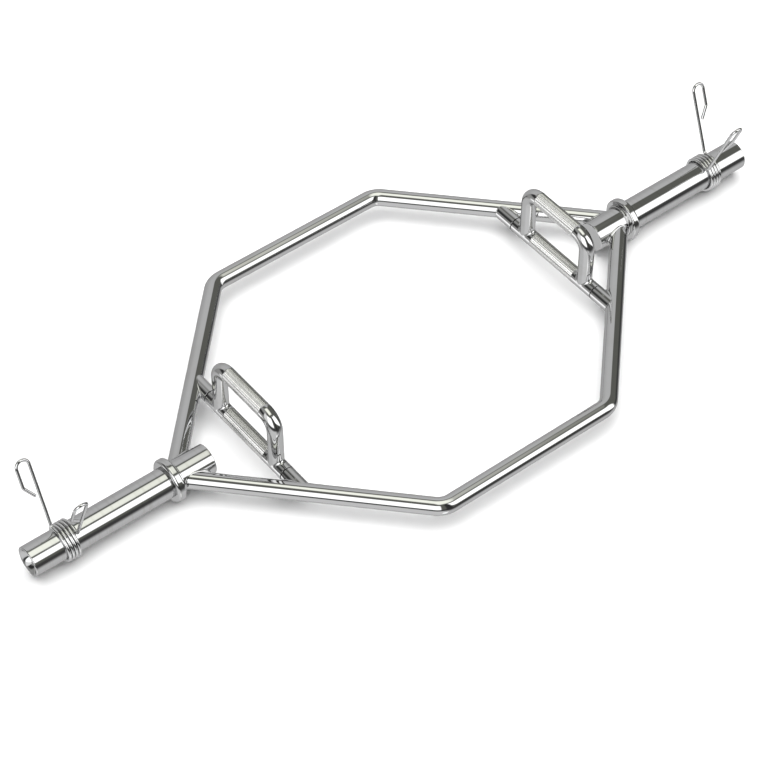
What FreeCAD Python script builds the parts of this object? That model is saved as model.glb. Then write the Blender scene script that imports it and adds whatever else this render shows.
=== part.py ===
import FreeCAD, Part
import math
import os
import Sketcher

# A hexagonal trap bar of chromed steel tube, with a wire spring clip on each sleeve.
# X runs along the bar, Z is up, and the origin lies on the floor under the middle of the hexagon.
# Lengths are in millimetres and angles in degrees.
# Every piece is drawn about the bar's axis and then lifted to the height of that axis.

SIZES = {
    # The sleeves take the plates. Each is a thick tube, open outside and capped inside.
    "overall_length": 1415,
    "sleeve_diameter": 50,
    "sleeve_wall": 13,
    "sleeve_tail_length": 58.5,
    "relief_width": 1.2,
    "relief_depth": 0.5,
    "end_cap_thickness": 4,
    "end_cap_plug_length": 8,
    "end_cap_chamfer": 0.8,
    # The stop collars are turned rings that the plates lean on.
    "loadable_length": 245.5,
    "collar_height": 11,
    "collar_width": 14,
    "collar_step_height": 3,
    "collar_step_width": 4.5,
    # The hexagon is two bent tubes. Widths are taken between their centrelines.
    "frame_width": 589,
    "frame_angle": 46,
    "frame_tube_diameter": 28.6,
    "frame_tube_wall": 3.6,
    "frame_bend_radius": 34,
    "frame_collar_gap": 0.6,
    # Each handle is a low grip between two stubs, with a raised grip standing on it.
    # The setback runs from the collar's inner end to the line of the handle.
    "handle_setback": 135.5,
    "low_grip_diameter": 26,
    "stub_length": 45.6,
    "seam_chamfer": 0.8,
    "spigot_diameter": 16,
    "raised_grip_diameter": 25,
    "raised_grip_wall": 3,
    "raised_grip_height": 96,
    "raised_grip_span": 142,
    "raised_grip_bend_radius": 24,
    # Clearances: under a weld, and around a plug, spigot or collar.
    "weld_gap": 0.1,
    "fit_gap": 0.1,
    # The spring clips are round wire. The inset runs from the sleeve's mouth to the coil's middle.
    "clip_wire": 5.2,
    "clip_bore_gap": 0.85,
    "coil_gap": 0.62,
    "coil_turns": 4,
    "clip_lean_angle": 21,
    "outer_arm_bend_angle": 78,
    "inner_arm_bend_angle": 85,
    "clip_bend_radius": 6,
    "clip_leg_length": 109,
    "clip_loop_width": 21,
    "clip_return_length": 31,
    "clip_hook_angle": 34,
    "clip_tip_gap": 2,
    "left_clip_inset": 66,
    "right_clip_inset": 72,
}

# Rounded edges follow the wall or width that carries them.
MOUTH_ROUND_SHARE = 0.14
BORE_ROUND_SHARE = 0.84
COLLAR_FACE_ROUND_SHARE = 0.36
COLLAR_BACK_ROUND_SHARE = 0.22
COLLAR_STEP_ROUND_SHARE = 0.33
# The frame tube's bare end stops this far short of the bar's axis, inside the cut for the sleeve.
FRAME_END_SHARE = 0.3
# A spigot fills this much of the free depth in its stub, and its socket is that much deeper again.
SPIGOT_DEPTH_SHARE = 0.7
SOCKET_DEPTH_SHARE = 1.15

# Cuts run past the solid by this share of its own size.
OVERRUN_SHARE = 1.5
# An edge is known by its radius and station, within this share of the radius.
EDGE_MATCH_SHARE = 0.002
# The coil is measured against itself at this many points for each wire thickness of its length.
POINTS_PER_WIRE = 4

FULL_TURN = 360
HALF_TURN = 180
QUARTER_TURN = 90

doc = FreeCAD.newDocument("hex_trap_bar")
sheet = doc.addObject("Spreadsheet::Sheet", "Sizes")
for row, (name, number) in enumerate(SIZES.items(), start=1):
    sheet.set(f"A{row}", name)
    sheet.set(f"B{row}", str(number))
    sheet.setAlias(f"B{row}", name)
doc.recompute()

# Places worked out from the sizes, as expressions. Stations are distances from the middle of the bar.
SLEEVE_RADIUS = "Sizes.sleeve_diameter / 2"
BORE_RADIUS = f"({SLEEVE_RADIUS} - Sizes.sleeve_wall)"
AXIS_HEIGHT = f"({SLEEVE_RADIUS} + Sizes.collar_height)"
MOUTH = "Sizes.overall_length / 2"
COLLAR_FACE = f"({MOUTH} - Sizes.loadable_length)"
COLLAR_BACK = f"({COLLAR_FACE} - Sizes.collar_width)"
COLLAR_END = f"({COLLAR_BACK} - Sizes.collar_step_width)"
TAIL = f"({COLLAR_END} - Sizes.sleeve_tail_length)"
SLEEVE_END = f"({TAIL} + Sizes.end_cap_thickness)"
FRAME_Y = "Sizes.frame_width / 2"
FRAME_RADIUS = "Sizes.frame_tube_diameter / 2"
# The diagonal aims at the apex on the bar's axis, set so that the tube just clears the collar.
APEX = (f"({COLLAR_END} - Sizes.frame_collar_gap - {FRAME_RADIUS} / sin(Sizes.frame_angle)"
        f" + {SLEEVE_RADIUS} / tan(Sizes.frame_angle))")
CORNER = f"({APEX} - {FRAME_Y} / tan(Sizes.frame_angle))"
HANDLE_X = f"({COLLAR_END} - Sizes.handle_setback)"
HANDLE_RADIUS = "Sizes.low_grip_diameter / 2"
# Where the handle's line crosses the diagonal, and where the low grip meets its stub.
CROSSING = f"(({APEX} - {HANDLE_X}) * tan(Sizes.frame_angle))"
SEAM = f"({CROSSING} - Sizes.stub_length)"
SPIGOT_RADIUS = "Sizes.spigot_diameter / 2"
STUB_ROOM = (f"(Sizes.stub_length - {FRAME_RADIUS} / cos(Sizes.frame_angle)"
             f" - {SPIGOT_RADIUS} * tan(Sizes.frame_angle))")
SPIGOT_DEPTH = f"({STUB_ROOM} * {SPIGOT_DEPTH_SHARE})"


def value(expression):
    """The length or angle that an expression has now."""
    return float(sheet.evalExpression(expression))


def new_body(label, x="0", turn=None):
    """A body on the bar's axis at station x, turned half round where a turn axis is given."""
    body = doc.addObject("PartDesign::Body", label)
    body.Label = label
    if turn is not None:
        body.Placement = FreeCAD.Placement(FreeCAD.Vector(), FreeCAD.Rotation(turn, HALF_TURN))
    body.setExpression("Placement.Base.x", x)
    body.setExpression("Placement.Base.z", AXIS_HEIGHT)
    return body


def origin_plane(body, role):
    """One of the body's own origin planes."""
    return next(plane for plane in body.Origin.OriginFeatures if plane.Role == role)


def new_sketch(body, name, role):
    """An empty sketch on one of the body's origin planes."""
    sketch = body.newObject("Sketcher::SketchObject", f"{body.Name}_{name}")
    sketch.AttachmentSupport = [(origin_plane(body, role), "")]
    sketch.MapMode = "FlatFace"
    return sketch


def pin_point(sketch, line, end, across, up):
    """Hold one end of a sketch line at a place given by two expressions."""
    for kind, axis, spot in (("DistanceX", -2, across), ("DistanceY", -1, up)):
        if spot == "0":
            sketch.addConstraint(Sketcher.Constraint("PointOnObject", line, end, axis))
        else:
            index = sketch.addConstraint(Sketcher.Constraint(kind, -1, 1, line, end, value(spot)))
            sketch.setExpression(f"Constraints[{index}]", spot)


def outline(sketch, corners):
    """A closed outline of straight lines through corners given as pairs of expressions."""
    spots = [FreeCAD.Vector(value(across), value(up), 0) for across, up in corners]
    for spot, following in zip(spots, spots[1:] + spots[:1]):
        sketch.addGeometry(Part.LineSegment(spot, following), False)
    for line, (across, up) in enumerate(corners):
        before = (line - 1) % len(corners)
        sketch.addConstraint(Sketcher.Constraint("Coincident", before, 2, line, 1))
        pin_point(sketch, line, 1, across, up)


def circle(sketch, across, up, radius):
    """A circle about a point given by two expressions."""
    centre = FreeCAD.Vector(value(across), value(up), 0)
    upward = FreeCAD.Vector(0, 0, 1)
    ring = sketch.addGeometry(Part.Circle(centre, upward, value(radius)), False)
    pin_point(sketch, ring, 3, across, up)
    index = sketch.addConstraint(Sketcher.Constraint("Radius", ring, value(radius)))
    sketch.setExpression(f"Constraints[{index}]", radius)


def bent_line(sketch, start, corner, end, radius):
    """A level run, a tangent arc to the right and a second run, through pairs of expressions."""
    first, elbow, last = (FreeCAD.Vector(value(across), value(up), 0) for across, up in (start, corner, end))
    into = (elbow - first).normalize()
    out_of = (last - elbow).normalize()
    turn = into.getAngle(out_of)
    setback = value(radius) * math.tan(turn / 2)
    arc_start = elbow - into * setback
    arc_end = elbow + out_of * setback
    centre = arc_start - FreeCAD.Vector(0, value(radius), 0)
    ring = Part.Circle(centre, FreeCAD.Vector(0, 0, 1), value(radius))
    quarter = math.radians(QUARTER_TURN)
    sketch.addGeometry(Part.LineSegment(first, arc_start), False)
    sketch.addGeometry(Part.ArcOfCircle(ring, quarter - turn, quarter), False)
    sketch.addGeometry(Part.LineSegment(arc_end, last), False)
    sketch.addConstraint(Sketcher.Constraint("Tangent", 0, 2, 1, 2))
    sketch.addConstraint(Sketcher.Constraint("Tangent", 1, 1, 2, 1))
    sketch.addConstraint(Sketcher.Constraint("Horizontal", 0))
    pin_point(sketch, 0, 1, *start)
    pin_point(sketch, 2, 2, *end)
    point = sketch.addGeometry(Part.Point(elbow), True)
    pin_point(sketch, point, 1, *corner)
    sketch.addConstraint(Sketcher.Constraint("PointOnObject", point, 1, 2))
    index = sketch.addConstraint(Sketcher.Constraint("Radius", 1, value(radius)))
    sketch.setExpression(f"Constraints[{index}]", radius)


def revolve(body, name, kind, sketch, axis):
    """A full revolution or groove of a sketch about one of its axes or edges."""
    feature = body.newObject(f"PartDesign::{kind}", f"{body.Name}_{name}")
    feature.Profile = sketch
    feature.ReferenceAxis = (sketch, [axis])
    feature.Angle = FULL_TURN
    doc.recompute()
    return feature


def pipe(body, name, kind, section, spine):
    """A section swept along a spine, added or cut away."""
    feature = body.newObject(f"PartDesign::{kind}Pipe", f"{body.Name}_{name}")
    feature.Profile = section
    feature.Spine = spine
    doc.recompute()
    return feature


def round_edge(body, name, radius, along, centre, expression):
    """Round the circular edge of the given radius whose centre lies at a station on one axis."""
    tip = body.Tip
    close = value(radius) * EDGE_MATCH_SHARE
    edges = []
    for number, edge in enumerate(tip.Shape.Edges, start=1):
        if not isinstance(edge.Curve, Part.Circle):
            continue
        station = edge.Curve.Center.dot(along)
        if abs(edge.Curve.Radius - value(radius)) < close and abs(station - value(centre)) < close:
            edges.append(f"Edge{number}")
    fillet = body.newObject("PartDesign::Fillet", f"{body.Name}_{name}")
    fillet.Base = (tip, edges)
    fillet.setExpression("Radius", expression)
    doc.recompute()


X_AXIS = FreeCAD.Vector(1, 0, 0)
Y_AXIS = FreeCAD.Vector(0, 1, 0)
Z_AXIS = FreeCAD.Vector(0, 0, 1)


def make_sleeve(label, turn):
    """The plate sleeve: a thick tube with a relief turned beside the collar and a rounded mouth."""
    body = new_body(label, turn=turn)
    relief_end = f"({COLLAR_FACE} + Sizes.relief_width)"
    relief_floor = f"({SLEEVE_RADIUS} - Sizes.relief_depth)"
    sketch = new_sketch(body, "half_section", "XY_Plane")
    outline(sketch, [
        (SLEEVE_END, BORE_RADIUS),
        (SLEEVE_END, SLEEVE_RADIUS),
        (COLLAR_FACE, SLEEVE_RADIUS),
        (COLLAR_FACE, relief_floor),
        (relief_end, relief_floor),
        (relief_end, SLEEVE_RADIUS),
        (MOUTH, SLEEVE_RADIUS),
        (MOUTH, BORE_RADIUS),
    ])
    revolve(body, "tube", "Revolution", sketch, "H_Axis")
    round_edge(body, "mouth_round", SLEEVE_RADIUS, X_AXIS, MOUTH, f"Sizes.sleeve_wall * {MOUTH_ROUND_SHARE}")
    round_edge(body, "bore_round", BORE_RADIUS, X_AXIS, MOUTH, f"Sizes.sleeve_wall * {BORE_ROUND_SHARE}")
    return body


def make_end_cap(label, turn):
    """The cap that closes the sleeve's inner end: a disc with a plug that centres it in the bore."""
    body = new_body(label, turn=turn)
    plug_radius = f"({BORE_RADIUS} - Sizes.fit_gap)"
    plug_end = f"({SLEEVE_END} + Sizes.end_cap_plug_length)"
    sketch = new_sketch(body, "half_section", "XY_Plane")
    outline(sketch, [
        (TAIL, "0"),
        (TAIL, f"({SLEEVE_RADIUS} - Sizes.end_cap_chamfer)"),
        (f"({TAIL} + Sizes.end_cap_chamfer)", SLEEVE_RADIUS),
        (SLEEVE_END, SLEEVE_RADIUS),
        (SLEEVE_END, plug_radius),
        (plug_end, plug_radius),
        (plug_end, "0"),
    ])
    revolve(body, "disc", "Revolution", sketch, "H_Axis")
    return body


def make_collar(label, turn):
    """The stop collar: a round-edged ring with a lower step on its inner side."""
    body = new_body(label, turn=turn)
    bore = f"({SLEEVE_RADIUS} + Sizes.fit_gap)"
    step = f"({SLEEVE_RADIUS} + Sizes.collar_step_height)"
    sketch = new_sketch(body, "half_section", "XY_Plane")
    outline(sketch, [
        (COLLAR_END, bore),
        (COLLAR_END, step),
        (COLLAR_BACK, step),
        (COLLAR_BACK, AXIS_HEIGHT),
        (COLLAR_FACE, AXIS_HEIGHT),
        (COLLAR_FACE, bore),
    ])
    revolve(body, "ring", "Revolution", sketch, "H_Axis")
    rounds = (
        ("face_round", AXIS_HEIGHT, COLLAR_FACE, f"Sizes.collar_width * {COLLAR_FACE_ROUND_SHARE}"),
        ("back_round", AXIS_HEIGHT, COLLAR_BACK, f"Sizes.collar_width * {COLLAR_BACK_ROUND_SHARE}"),
        ("step_round", step, COLLAR_END, f"Sizes.collar_step_width * {COLLAR_STEP_ROUND_SHARE}"),
    )
    for name, radius, station, expression in rounds:
        round_edge(body, name, radius, X_AXIS, station, expression)
    return body


def make_bent_tube(body, section_role, section_at, spine_role, spine, radius, wall, bend, mirror_role):
    """Half of a bent tube, swept from its middle and mirrored. It is hollow from end to end."""
    line = new_sketch(body, "centreline", spine_role)
    bent_line(line, *spine, bend)
    features = []
    inner_radius = f"({radius} - {wall})"
    for name, kind, reach in (("wall", "Additive", radius), ("hollow", "Subtractive", inner_radius)):
        section = new_sketch(body, f"{name}_section", section_role)
        circle(section, *section_at, reach)
        features.append(pipe(body, name, kind, section, line))
    mirror = body.newObject("PartDesign::Mirrored", f"{body.Name}_both_halves")
    mirror.Originals = features
    mirror.MirrorPlane = (origin_plane(body, mirror_role), [""])
    body.Tip = mirror
    doc.recompute()


def cope(body, role, radius, length):
    """Cut the ends of a tube to sit round the bar that they meet, which runs square to the plane."""
    before = body.Shape.Volume
    sketch = new_sketch(body, "cope_section", role)
    circle(sketch, "0", "0", radius)
    pocket = body.newObject("PartDesign::Pocket", f"{body.Name}_cope")
    pocket.Profile = sketch
    pocket.SideType = "Symmetric"
    pocket.setExpression("Length", length)
    doc.recompute()
    if pocket.Shape.Volume >= before:
        raise RuntimeError(f"the cope of {body.Label} cuts nothing")


def make_frame_tube(label, turn):
    """One half of the hexagon: a tube with two bends, coped on both sleeves."""
    body = new_body(label, turn=turn)
    end_y = f"({SLEEVE_RADIUS} * {FRAME_END_SHARE})"
    end_x = f"({APEX} - {end_y} / tan(Sizes.frame_angle))"
    spine = (("0", FRAME_Y), (CORNER, FRAME_Y), (end_x, end_y))
    make_bent_tube(body, "YZ_Plane", (FRAME_Y, "0"), "XY_Plane", spine, FRAME_RADIUS,
                   "Sizes.frame_tube_wall", "Sizes.frame_bend_radius", "YZ_Plane")
    cope(body, "YZ_Plane", f"({SLEEVE_RADIUS} + Sizes.weld_gap)", f"{MOUTH} * {OVERRUN_SHARE}")
    return body


def make_raised_grip(label, x):
    """The raised grip: a tube bent to an arch, whose feet are coped on the low grip."""
    body = new_body(label, x=x)
    half_span = "Sizes.raised_grip_span / 2"
    top = "Sizes.raised_grip_height"
    spine = (("0", top), (half_span, top), (half_span, "0"))
    make_bent_tube(body, "XZ_Plane", ("0", top), "YZ_Plane", spine, "Sizes.raised_grip_diameter / 2",
                   "Sizes.raised_grip_wall", "Sizes.raised_grip_bend_radius", "XZ_Plane")
    cope(body, "XZ_Plane", f"({HANDLE_RADIUS} + Sizes.weld_gap)", f"Sizes.raised_grip_span * {OVERRUN_SHARE}")
    return body


def make_low_grip(label, x):
    """The low grip: a solid bar with a socket in each end and chamfers that form the seams."""
    body = new_body(label, x=x)
    socket = f"({SPIGOT_RADIUS} + Sizes.fit_gap)"
    socket_floor = f"({SEAM} - {SPIGOT_DEPTH} * {SOCKET_DEPTH_SHARE})"
    edge = f"({HANDLE_RADIUS} - Sizes.seam_chamfer)"
    shoulder = f"({SEAM} - Sizes.seam_chamfer)"
    upper = [
        (HANDLE_RADIUS, shoulder),
        (edge, SEAM),
        (socket, SEAM),
        (socket, socket_floor),
        ("0", socket_floor),
    ]
    lower = [(across, f"-{up}") for across, up in reversed(upper)]
    sketch = new_sketch(body, "half_section", "XY_Plane")
    outline(sketch, upper + lower)
    revolve(body, "bar", "Revolution", sketch, "V_Axis")
    return body


def make_stub(label, x, turn):
    """A handle stub: a short tube from the low grip's seam, coped on the diagonal of the frame."""
    body = new_body(label, x=x, turn=turn)
    bore = f"({SPIGOT_RADIUS} + Sizes.fit_gap)"
    sketch = new_sketch(body, "half_section", "XY_Plane")
    outline(sketch, [
        (bore, SEAM),
        (f"({HANDLE_RADIUS} - Sizes.seam_chamfer)", SEAM),
        (HANDLE_RADIUS, f"({SEAM} + Sizes.seam_chamfer)"),
        (HANDLE_RADIUS, CROSSING),
        (bore, CROSSING),
    ])
    tube = revolve(body, "tube", "Revolution", sketch, "V_Axis")
    # The cut is the diagonal itself, revolved about its own centreline from the corner to the apex.
    reach = f"({FRAME_RADIUS} + Sizes.weld_gap)"
    apex = f"({APEX} - {HANDLE_X})"
    corner = f"({CORNER} - {HANDLE_X})"
    aside_x = f"{reach} * sin(Sizes.frame_angle)"
    aside_y = f"{reach} * cos(Sizes.frame_angle)"
    cut = new_sketch(body, "diagonal_half_section", "XY_Plane")
    outline(cut, [
        (corner, FRAME_Y),
        (apex, "0"),
        (f"({apex} - {aside_x})", f"(-{aside_y})"),
        (f"({corner} - {aside_x})", f"({FRAME_Y} - {aside_y})"),
    ])
    groove = revolve(body, "cope", "Groove", cut, "Edge1")
    if groove.Shape.Volume >= tube.Shape.Volume:
        raise RuntimeError(f"the cope of {label} cuts nothing")
    return body


def make_spigot(label, x, side):
    """The plain pin that joins a low grip to its stub, half in each."""
    pin = doc.addObject("Part::Cylinder", label)
    pin.Label = label
    pin.Placement = FreeCAD.Placement(FreeCAD.Vector(), FreeCAD.Rotation(X_AXIS, -QUARTER_TURN))
    pin.setExpression("Radius", SPIGOT_RADIUS)
    pin.setExpression("Height", f"2 * {SPIGOT_DEPTH}")
    pin.setExpression("Placement.Base.x", x)
    pin.setExpression("Placement.Base.y", f"{side} * {SEAM} - {SPIGOT_DEPTH}")
    pin.setExpression("Placement.Base.z", AXIS_HEIGHT)
    return pin


class WirePath:
    """A wire's centreline, laid as straight runs and arcs that follow one another smoothly."""

    def __init__(self, start, heading):
        self.point = start
        self.heading = heading
        self.edges = []

    def run(self, length):
        """Go straight on."""
        end = self.point + self.heading * length
        self.edges.append(Part.LineSegment(self.point, end).toShape())
        self.point = end

    def arc_to(self, corner, end):
        """Follow the arc that is tangent to the two equal sides of a corner."""
        chord_middle = (self.point + end) / 2
        side = (corner - self.point).Length
        half_chord = (end - self.point).Length / 2
        height = (corner - chord_middle).Length
        middle = chord_middle + (corner - chord_middle) * (half_chord * (side - half_chord) / height ** 2)
        self.edges.append(Part.Arc(self.point, middle, end).toShape())
        self.heading = (end - corner).normalize()
        self.point = end

    def biarc_to(self, end, end_heading):
        """Two arcs that leave on the present heading and arrive on another."""
        across = end - self.point
        both = self.heading + end_heading
        spread = 2 * (1 - self.heading.dot(end_heading))
        lean = across.dot(both)
        side = (math.sqrt(lean ** 2 + spread * across.dot(across)) - lean) / spread
        first_corner = self.point + self.heading * side
        second_corner = end - end_heading * side
        self.arc_to(first_corner, (first_corner + second_corner) / 2)
        self.arc_to(second_corner, end)

    def bend(self, towards, radius, angle):
        """Bend by an angle towards a direction square to the heading, a quarter turn at a time."""
        steps = math.ceil(angle / QUARTER_TURN)
        part = math.radians(angle / steps)
        for _ in range(steps):
            side = radius * math.tan(part / 2)
            corner = self.point + self.heading * side
            heading = self.heading * math.cos(part) + towards * math.sin(part)
            towards = towards * math.cos(part) - self.heading * math.sin(part)
            self.arc_to(corner, corner + heading * side)

    def wire(self):
        """The whole centreline."""
        return Part.Wire(self.edges)


def wire_solid(path, thickness):
    """Round wire along a centreline, closed at both ends."""
    spine = path.wire()
    first = spine.OrderedEdges[0]
    start = first.valueAt(first.FirstParameter)
    heading = first.tangentAt(first.FirstParameter)
    section = Part.Wire([Part.Circle(start, heading, thickness / 2).toShape()])
    shell = Part.BRepOffsetAPI.MakePipeShell(spine)
    shell.add(section)
    shell.build()
    shell.makeSolid()
    return shell.shape()


def wire_piece(label, path, thickness):
    """A wire form as a piece of its own, lifted to the height of the bar's axis."""
    piece = doc.addObject("Part::Feature", label)
    piece.Label = label
    piece.Shape = wire_solid(path, thickness)
    piece.Placement = FreeCAD.Placement(FreeCAD.Vector(0, 0, value(AXIS_HEIGHT)), FreeCAD.Rotation())
    return piece


def spoke(angle):
    """The unit vector square to the bar at an angle from the rear side, upwards."""
    return FreeCAD.Vector(0, math.cos(math.radians(angle)), math.sin(math.radians(angle)))


def least_self_gap(spine, thickness, turn_length):
    """The least gap between the wire and itself, on points, leaving out half a turn either way."""
    count = math.ceil(spine.Length / thickness) * POINTS_PER_WIRE
    points = spine.discretize(Number=count)
    apart = math.ceil(count * turn_length / 2 / spine.Length)
    gaps = (points[i].distanceToPoint(points[j]) for i in range(count) for j in range(i + apart, count))
    return min(gaps) - thickness


def make_clip(side_name, side):
    """A spring clip: a coil that grips the sleeve, and two arms to squeeze together."""
    wire = value("Sizes.clip_wire")
    coil_radius = value(SLEEVE_RADIUS) + value("Sizes.clip_bore_gap") + wire / 2
    pitch = wire + value("Sizes.coil_gap")
    lean = value("Sizes.clip_lean_angle")
    outer_bend = value("Sizes.outer_arm_bend_angle")
    inner_bend = value("Sizes.inner_arm_bend_angle")
    bend_radius = value("Sizes.clip_bend_radius")
    middle = value(f"{MOUTH} - Sizes.{side_name}_clip_inset")
    outer_angle = HALF_TURN - lean - outer_bend
    sweep = FULL_TURN * value("Sizes.coil_turns") + lean + inner_bend - outer_angle
    coil_length = pitch * sweep / FULL_TURN
    outboard = X_AXIS * side

    def coil_point(turned):
        station = outboard * (middle + coil_length / 2 - pitch * turned / FULL_TURN)
        return station + spoke(outer_angle + turned) * coil_radius

    def coil_heading(turned):
        slope = outboard * (-pitch / (2 * math.pi))
        return (slope + spoke(outer_angle + turned + QUARTER_TURN) * coil_radius).normalize()

    # The coil leaves and arrives square to the sleeve, with a straight run of one wire at each end.
    start_heading = spoke(outer_angle + QUARTER_TURN)
    end_heading = spoke(outer_angle + sweep + QUARTER_TURN)
    coil = WirePath(coil_point(0) - start_heading * wire, start_heading)
    coil.run(wire)
    steps = math.ceil(sweep / QUARTER_TURN)
    for step in range(1, steps):
        turned = sweep * step / steps
        coil.biarc_to(coil_point(turned), coil_heading(turned))
    coil.biarc_to(coil_point(sweep), end_heading)
    coil.run(wire)
    pieces = [wire_piece(f"{side_name}_clip_coil", coil, wire)]
    gap = least_self_gap(coil.wire(), wire, 2 * math.pi * coil_radius)
    print(f"{side_name} clip: least gap between turns {gap:.2f} mm")

    # Each arm turns out from the coil, runs up to a finger loop and ends in a tip beside its own leg.
    ends = (
        ("outer", coil_point(0) - start_heading * wire, -start_heading, outer_angle, outer_bend),
        ("inner", coil_point(sweep) + end_heading * wire, end_heading, outer_angle + sweep, inner_bend),
    )
    loop_width = value("Sizes.clip_loop_width")
    hook = value("Sizes.clip_hook_angle")
    hook_turn = math.radians(hook)
    hook_drop = bend_radius * (1 - math.cos(hook_turn))
    tip_reach = loop_width - wire - value("Sizes.clip_tip_gap") - hook_drop
    for end_name, start, heading, angle, bend in ends:
        arm = WirePath(start, heading)
        arm.bend(spoke(angle), bend_radius, bend)
        arm.run(value("Sizes.clip_leg_length"))
        arm.bend(outboard, loop_width / 2, HALF_TURN)
        arm.run(value("Sizes.clip_return_length"))
        arm.bend(-outboard, bend_radius, hook)
        arm.run(tip_reach / math.sin(hook_turn))
        pieces.append(wire_piece(f"{side_name}_clip_{end_name}_arm", arm, wire))
    return pieces


sub_parts = [make_frame_tube("rear_frame_tube", None), make_frame_tube("front_frame_tube", Z_AXIS)]
for side_name, side, turn in (("right", 1, None), ("left", -1, Z_AXIS)):
    sub_parts.append(make_sleeve(f"{side_name}_sleeve", turn))
    sub_parts.append(make_collar(f"{side_name}_stop_collar", turn))
    sub_parts.append(make_end_cap(f"{side_name}_inner_end_cap", turn))
    handle_x = f"{side} * {HANDLE_X}"
    sub_parts.append(make_low_grip(f"{side_name}_low_grip", handle_x))
    sub_parts.append(make_raised_grip(f"{side_name}_raised_grip", handle_x))
    sub_parts.extend(make_clip(side_name, side))

# The four stubs are one form turned over, because it is alike above and below its own axis.
STUB_PLACES = (
    ("right_rear", 1, 1, None),
    ("right_front", 1, -1, X_AXIS),
    ("left_rear", -1, 1, Y_AXIS),
    ("left_front", -1, -1, Z_AXIS),
)
for place, side, end, turn in STUB_PLACES:
    handle_x = f"{side} * {HANDLE_X}"
    sub_parts.append(make_stub(f"{place}_handle_stub", handle_x, turn))
    sub_parts.append(make_spigot(f"{place}_handle_spigot", handle_x, end))

doc.recompute()
for item in doc.Objects:
    if "Invalid" in item.State or "Error" in item.State:
        raise RuntimeError(f"{item.Label} failed")
for piece in sub_parts:
    if piece.Shape.isNull() or not piece.Shape.isValid() or len(piece.Shape.Solids) != 1:
        raise RuntimeError(f"{piece.Label} is not one valid solid")

os.makedirs("parts", exist_ok=True)
for piece in sub_parts:
    piece.Shape.exportStep(f"parts/{piece.Label}.step")
print(f"{len(sub_parts)} pieces written")
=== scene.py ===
# %% [markdown]
# # A hex trap bar in bright chrome
#
# The bar lies flat on a white studio floor: a hexagon of bent tube, two plate sleeves with stop collars,
# two handles with a low and a raised grip, and a wire spring clip on each sleeve. The CAD model is the
# frame that everything here is fitted to. A mirror finish shows every facet, so each visible piece is
# modelled again with finer rings and true roundings, in the same place and at the same size.

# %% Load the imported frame
import bmesh
import bpy
import math
from mathutils import Matrix, Vector


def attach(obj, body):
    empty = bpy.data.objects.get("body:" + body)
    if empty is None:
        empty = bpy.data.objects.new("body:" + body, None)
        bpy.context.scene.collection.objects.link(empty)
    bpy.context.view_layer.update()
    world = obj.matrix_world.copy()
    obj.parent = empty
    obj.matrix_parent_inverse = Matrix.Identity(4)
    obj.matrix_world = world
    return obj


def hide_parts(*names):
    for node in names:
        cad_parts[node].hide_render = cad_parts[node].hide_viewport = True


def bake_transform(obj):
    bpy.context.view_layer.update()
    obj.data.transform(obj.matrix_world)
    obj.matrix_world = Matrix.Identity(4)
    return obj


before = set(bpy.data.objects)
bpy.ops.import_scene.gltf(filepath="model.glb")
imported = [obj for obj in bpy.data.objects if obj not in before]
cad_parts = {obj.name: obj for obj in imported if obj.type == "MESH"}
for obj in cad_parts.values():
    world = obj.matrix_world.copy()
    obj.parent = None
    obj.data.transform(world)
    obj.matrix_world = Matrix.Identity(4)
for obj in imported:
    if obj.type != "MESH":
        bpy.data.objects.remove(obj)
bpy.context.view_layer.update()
scene = bpy.context.scene

# %% [markdown]
# ## The camera
#
# The photograph looks down on the bar from the front left, at about 48 degrees. The lines of the hexagon
# fix the distance: parallel tubes close up only a little towards the back, so the lens is long and stands
# well away.

# %% Camera
SENSOR_WIDTH, LENS = 36, 120.41
CAMERA_PLACE = (-1.7093, -2.1182, 2.9742)
VIEW_DIRECTION = Vector((0.41189, 0.52704, -0.74335))
camera_data = bpy.data.cameras.new("camera")
camera_data.sensor_width = SENSOR_WIDTH
camera_data.lens = LENS
camera = bpy.data.objects.new("camera", camera_data)
camera.location = CAMERA_PLACE
camera.rotation_euler = VIEW_DIRECTION.to_track_quat("-Z", "Y").to_euler()
scene.collection.objects.link(camera)
scene.camera = camera
scene.view_settings.view_transform = "Standard"
print("camera is", round(camera.location.length, 2), "m from the middle of the floor")

# %% [markdown]
# ## The studio
#
# Chrome has no colour of its own: what we see on it is the room. The photograph's bands tell us what stood
# there: a grey sweep behind the bar and on the floor, a large soft box on each side of the camera with a
# dimmer strip beside the left one, a warm panel overhead, a wall on the left with a dark gap across it, and
# dark room between them. One way is to build lamps and cards. A world shader does it with less: it gets
# the direction of each ray, turns it into a bearing and a height in degrees, and paints each panel with
# soft edges. Bearings are counted from the far side, and grow towards the right.

# %% Bearing and height of a ray
def node(tree, kind, inputs=None, **settings):
    """Add a node, set its properties, and fill or link its inputs."""
    made = tree.nodes.new(kind)
    for name, setting in settings.items():
        setattr(made, name, setting)
    for socket, source in (inputs or {}).items():
        if isinstance(source, bpy.types.NodeSocket):
            tree.links.new(source, made.inputs[socket])
        else:
            made.inputs[socket].default_value = source
    return made


def math_node(tree, operation, *values):
    """The result of a Math node."""
    return node(tree, "ShaderNodeMath", dict(enumerate(values)), operation=operation).outputs[0]


world = bpy.data.worlds.new("studio")
world.use_nodes = True
scene.world = world
studio = world.node_tree
studio.nodes.clear()
ray = node(studio, "ShaderNodeTexCoord").outputs["Generated"]
axes = node(studio, "ShaderNodeSeparateXYZ", {"Vector": ray}).outputs
bearing = math_node(studio, "DEGREES", math_node(studio, "ARCTAN2", axes["X"], axes["Y"]))
height = math_node(studio, "DEGREES", math_node(studio, "ARCSINE", axes["Z"]))
print("world nodes for the ray's direction:", len(studio.nodes))

# %% Brushes for the studio
MIX_FACTOR, MIX_BELOW, MIX_ABOVE, MIX_RESULT = 0, 6, 7, 2


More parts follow.
